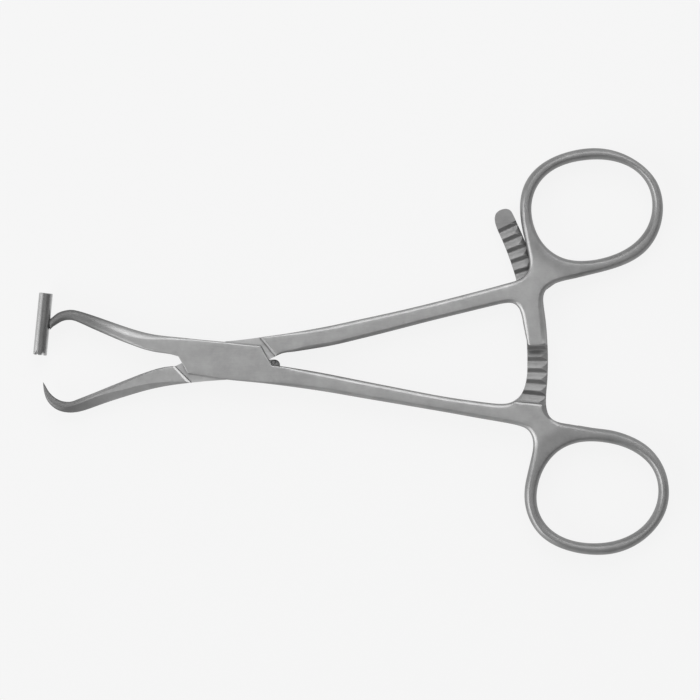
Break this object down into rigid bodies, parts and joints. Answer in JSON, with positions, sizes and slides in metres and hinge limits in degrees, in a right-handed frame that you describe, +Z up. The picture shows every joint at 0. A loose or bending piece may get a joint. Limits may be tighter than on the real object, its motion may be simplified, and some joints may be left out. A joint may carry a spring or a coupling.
{
  "type": "wire reduction forceps",
  "caption": "Ring-handled bone forceps with a box lock, a ratchet between the finger rings, one hooked pointed jaw and one jaw that ends in a toothed wire guide tube",
  "frame": {"origin": "on the pivot axis of the box lock, at the box's rest face", "axes": "+X from the box lock to the finger rings, +Z up through the box and along the pivot axis, +Y towards the upper ring"},
  "size_m": [0.1402, 0.0897, 0.0056],
  "materials": {
    "satin_steel": "satin brushed stainless steel",
    "ground_steel": "ground flush with the box",
    "bright_steel": "polished stainless tube"
  },
  "bodies": {
    "guide_side": {"box_half": "satin_steel", "lock_pin": "ground_steel", "wire_guide_tube": "bright_steel"},
    "hook_side": {"tenon_half": "satin_steel"}
  },
  "joints": [
    {"name": "box_lock", "type": "hinge", "parent": "guide_side", "child": "hook_side", "pos_m": [0, 0, 0.0028], "axis": [0, 0, 1], "range_deg": [-8, 30]}
  ]
}
